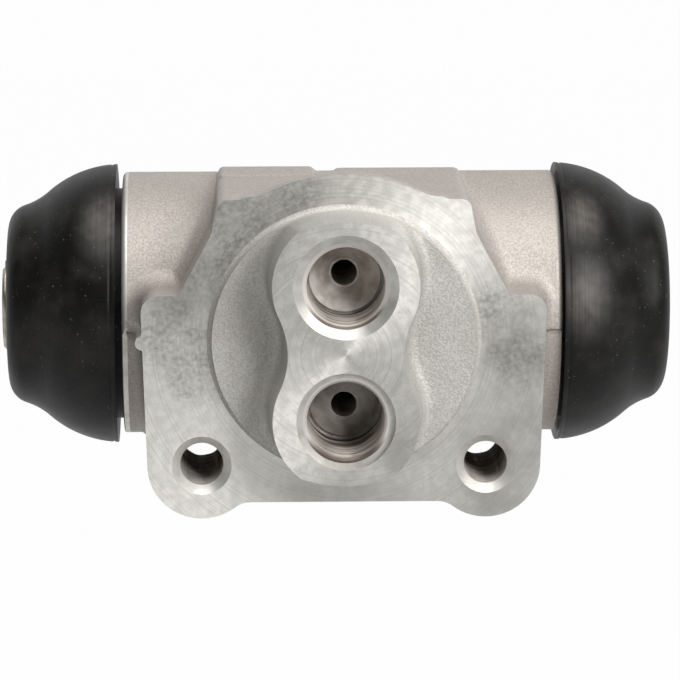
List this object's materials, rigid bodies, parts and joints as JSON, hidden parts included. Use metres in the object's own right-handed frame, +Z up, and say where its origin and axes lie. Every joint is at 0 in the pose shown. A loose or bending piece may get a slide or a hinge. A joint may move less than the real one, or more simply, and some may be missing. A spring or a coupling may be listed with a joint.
{
  "type": "wheel cylinder",
  "caption": "Drum-brake wheel cylinder: cast aluminium barrel with a machined mounting face, a boss with threaded ports, and opposed slotted pistons under domed rubber dust boots.",
  "frame": {"origin": "where the axis of the port boss meets the plane of the mounting face", "axes": "+X along the bore to the right piston, -Y out of the mounting face, +Z up, with the bleed port above the inlet port"},
  "size_m": [0.0794, 0.0473, 0.0404],
  "materials": {
    "cast_aluminium": "as cast, with machined faces",
    "piston_aluminium": "turned",
    "boot_rubber": "moulded, satin",
    "cup_rubber": "moulded, smooth",
    "spring_steel": "plain"
  },
  "bodies": {
    "cylinder": {"cylinder_body": "cast_aluminium", "left_boot": "boot_rubber", "right_boot": "boot_rubber", "return_spring": "spring_steel"},
    "left_piston_group": {"left_piston": "piston_aluminium", "left_cup_seal": "cup_rubber", "left_cup_expander": "spring_steel"},
    "right_piston_group": {"right_piston": "piston_aluminium", "right_cup_seal": "cup_rubber", "right_cup_expander": "spring_steel"}
  },
  "joints": [
    {"name": "left_piston_slide", "type": "slide", "parent": "cylinder", "child": "left_piston_group", "axis": [-1, 0, 0], "range_m": [-0.004, 0.005], "stiffness_N_per_m": 800, "deforming": ["left_boot", "return_spring"]},
    {"name": "right_piston_slide", "type": "slide", "parent": "cylinder", "child": "right_piston_group", "axis": [1, 0, 0], "range_m": [-0.004, 0.005], "stiffness_N_per_m": 800, "deforming": ["right_boot", "return_spring"]}
  ]
}
